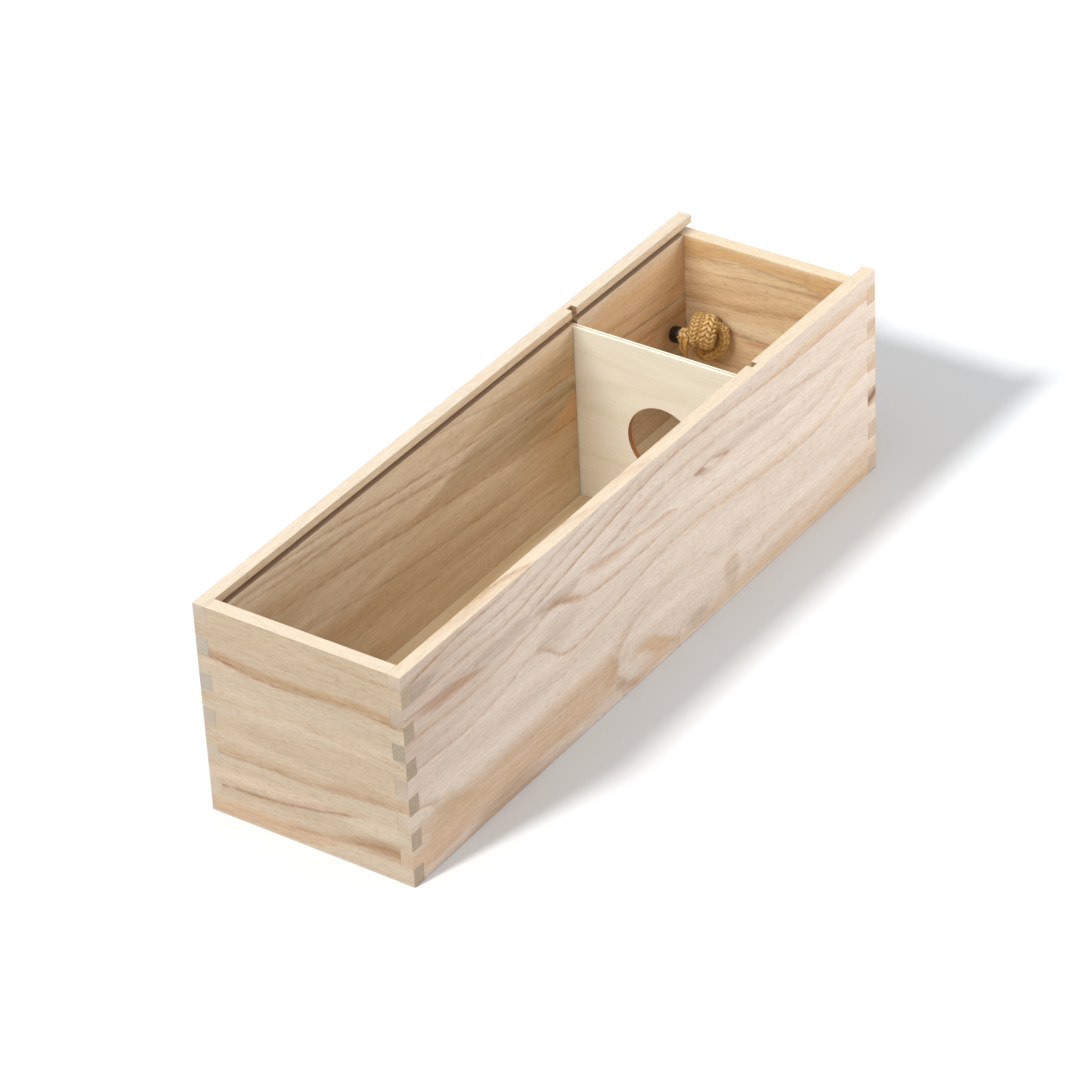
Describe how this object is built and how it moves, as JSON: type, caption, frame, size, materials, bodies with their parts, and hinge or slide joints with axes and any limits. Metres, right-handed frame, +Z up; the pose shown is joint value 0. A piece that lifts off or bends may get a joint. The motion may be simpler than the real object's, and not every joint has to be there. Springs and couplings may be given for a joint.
{
  "type": "wooden bottle box",
  "caption": "Open wooden bottle box with finger-jointed boards, a lift-out divider with a neck hole, a thin sliding lid stood beside it and a knotted rope handle.",
  "frame": {"origin": "bottom centre of the box and its stood lid taken together, on the table; the box's own middle is 1.5 mm further along +X", "axes": "+Y along the box to the end with the rope handle, +X to the right wall, +Z up"},
  "size_m": [0.102, 0.3696, 0.1],
  "materials": {
    "board_wood": "bare sanded pale wood, brown growth lines along each board",
    "floor_plywood": "bare plywood",
    "divider_plywood": "bare pale plywood",
    "lid_wood": "bare sanded pale wood",
    "rope": "braided golden rope with a soft sheen",
    "end_tape": "black tape"
  },
  "bodies": {
    "box": {"near_end_panel": "board_wood", "far_end_panel": "board_wood", "left_wall": "board_wood", "right_wall": "board_wood", "floor_panel": "floor_plywood", "handle_rope": "rope", "left_rope_knot": "rope", "right_rope_knot": "rope", "left_end_tape": "end_tape", "right_end_tape": "end_tape"},
    "divider": {"divider": "divider_plywood"},
    "lid": {"lid": "lid_wood"}
  },
  "joints": [
    {"name": "divider_lift", "type": "slide", "parent": "box", "child": "divider", "axis": [0, 0, 1], "range_m": [0, 0.1]},
    {"name": "lid_lift", "type": "slide", "parent": "box", "child": "lid", "axis": [0, 0, 1], "range_m": [0, 0.1]}
  ]
}
